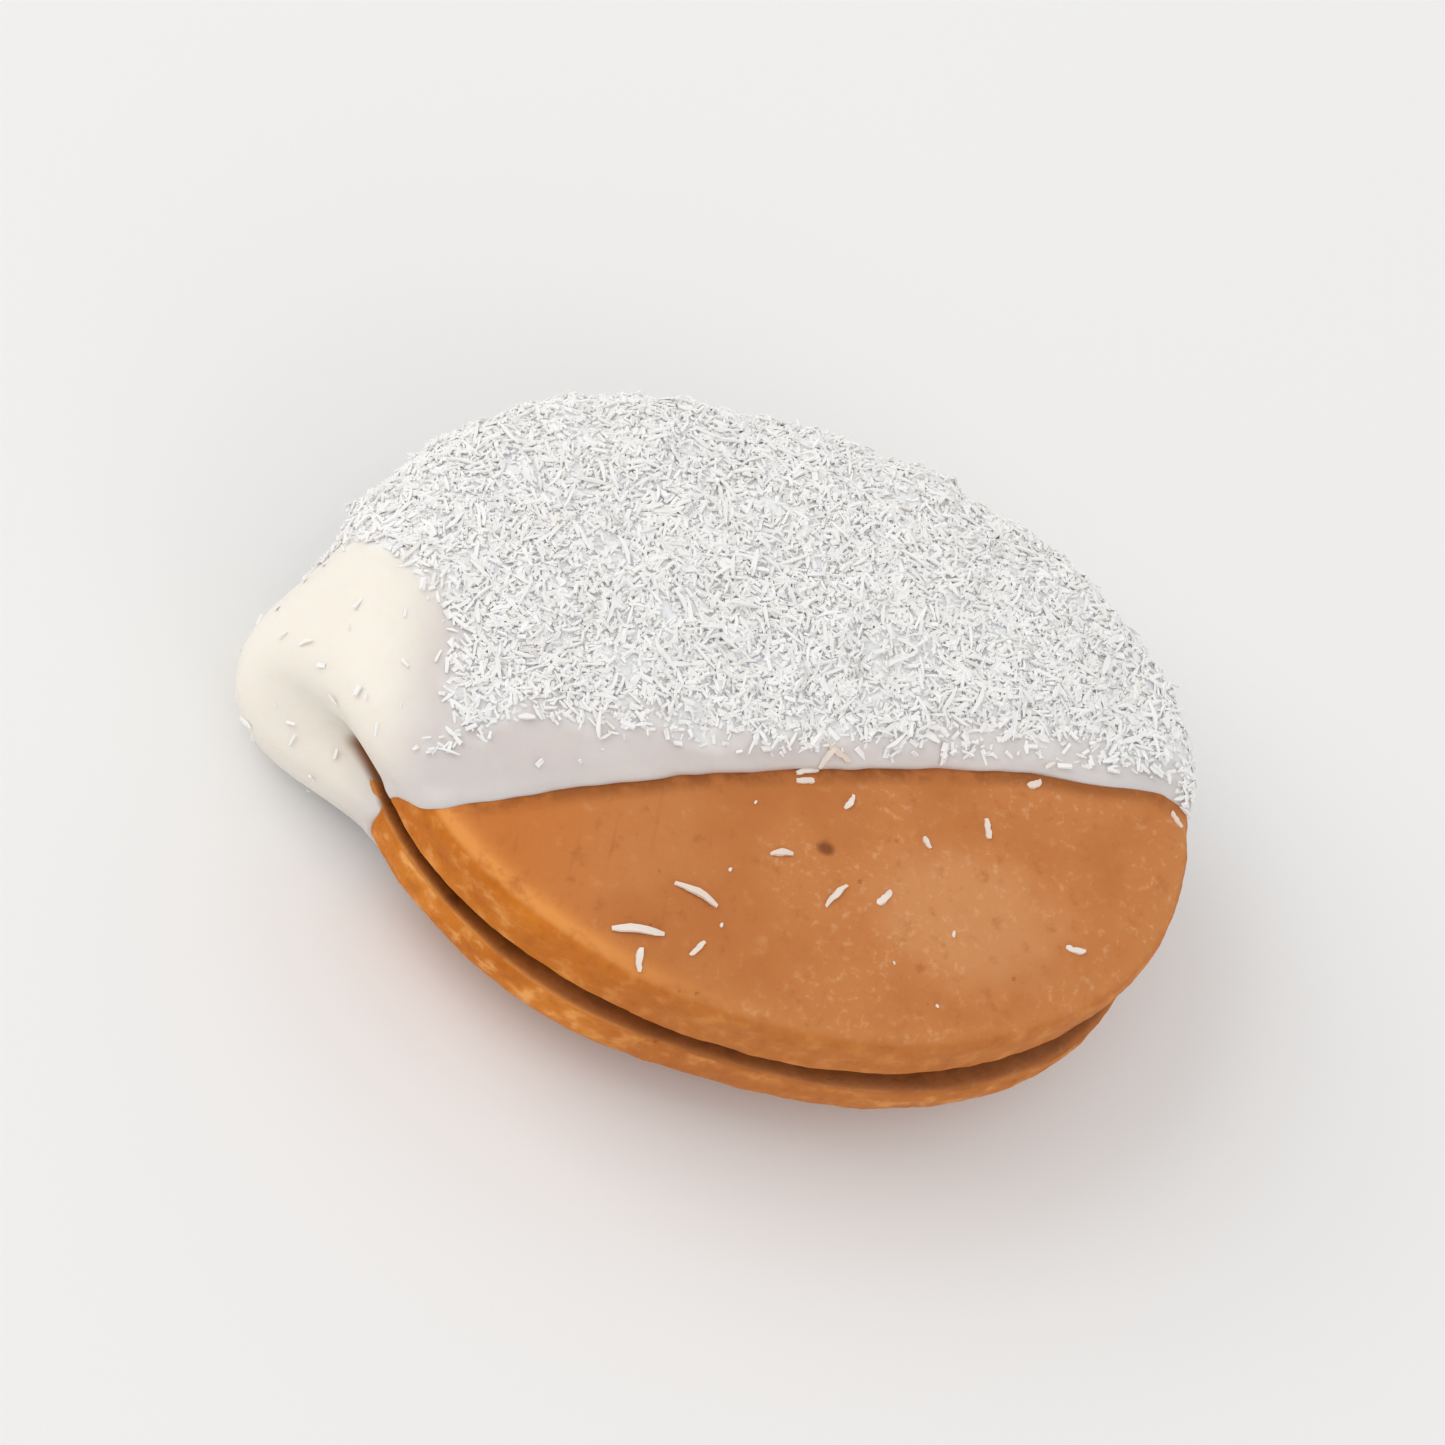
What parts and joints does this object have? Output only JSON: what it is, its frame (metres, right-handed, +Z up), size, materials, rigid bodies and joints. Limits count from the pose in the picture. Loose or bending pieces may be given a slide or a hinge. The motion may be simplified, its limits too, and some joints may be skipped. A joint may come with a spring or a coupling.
{
  "type": "coconut petit four",
  "caption": "Oval butter-biscuit sandwich with a thin jam filling, one long side dipped in white chocolate and rolled in desiccated coconut, lying face up.",
  "frame": {"origin": "middle of the footprint's bounding box, on the surface that the petit four lies on", "axes": "+X along the biscuits' long axis, +Y towards the coated long side, +Z up out of the bare face"},
  "size_m": [0.0528, 0.0382, 0.0152],
  "materials": {
    "biscuit": "baked butter dough, satin",
    "jam": "set apricot jam, glossy",
    "coconut": "white chocolate rolled in desiccated coconut, matt with a satin lip"
  },
  "bodies": {
    "root": {"biscuit_upper": "biscuit", "biscuit_lower": "biscuit", "jam_filling": "jam", "coconut_coat": "coconut"}
  },
  "joints": []
}
